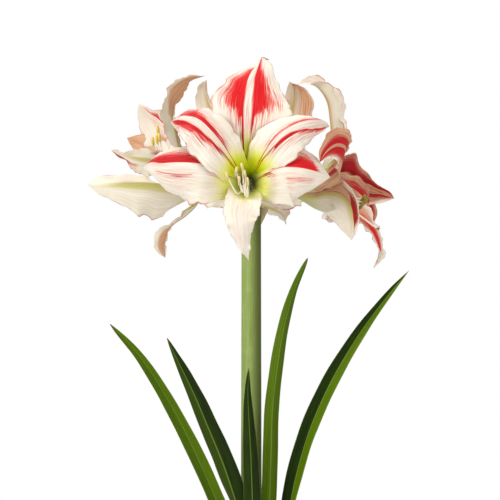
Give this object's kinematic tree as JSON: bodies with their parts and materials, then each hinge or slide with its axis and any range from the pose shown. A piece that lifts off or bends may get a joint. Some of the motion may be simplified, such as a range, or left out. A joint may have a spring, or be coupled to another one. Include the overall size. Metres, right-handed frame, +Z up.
{
  "type": "potted amaryllis plant in bloom",
  "caption": "Potted bulb plant in bloom: striped trumpet flowers round the top of a tall leafless stalk, with arching strap leaves, a bulb in soil and a plain clay pot.",
  "frame": {"origin": "middle of the pot's flat underside, which stands on the surface", "axes": "+Z up along the pot's axis, +X to the right and -Y towards the viewer in the picture's view"},
  "size_m": [0.3628, 0.3149, 0.7444],
  "materials": {
    "clay": "matt unglazed",
    "soil": "rough, crumbly",
    "bulb_skin": "dry papery skin",
    "stalk_green": "waxy satin",
    "leaf_green": "waxy satin",
    "dry_bract": "dry papery",
    "petal": "soft satin, red stripes on white",
    "stamen": "soft matt"
  },
  "bodies": {
    "root": {"pot": "clay", "soil": "soil", "bulb": "bulb_skin", "stalk": "stalk_green", "leaf_left_long": "leaf_green", "leaf_left_short": "leaf_green", "leaf_front_short": "leaf_green", "leaf_right_middle": "leaf_green", "leaf_right_long": "leaf_green", "bract_left": "dry_bract", "bract_right": "dry_bract", "flower_front_tepals": "petal", "flower_front_stamens": "stamen", "flower_left_tepals": "petal", "flower_left_stamens": "stamen", "flower_right_tepals": "petal", "flower_right_stamens": "stamen", "flower_back_tepals": "petal", "flower_back_stamens": "stamen"}
  },
  "joints": []
}
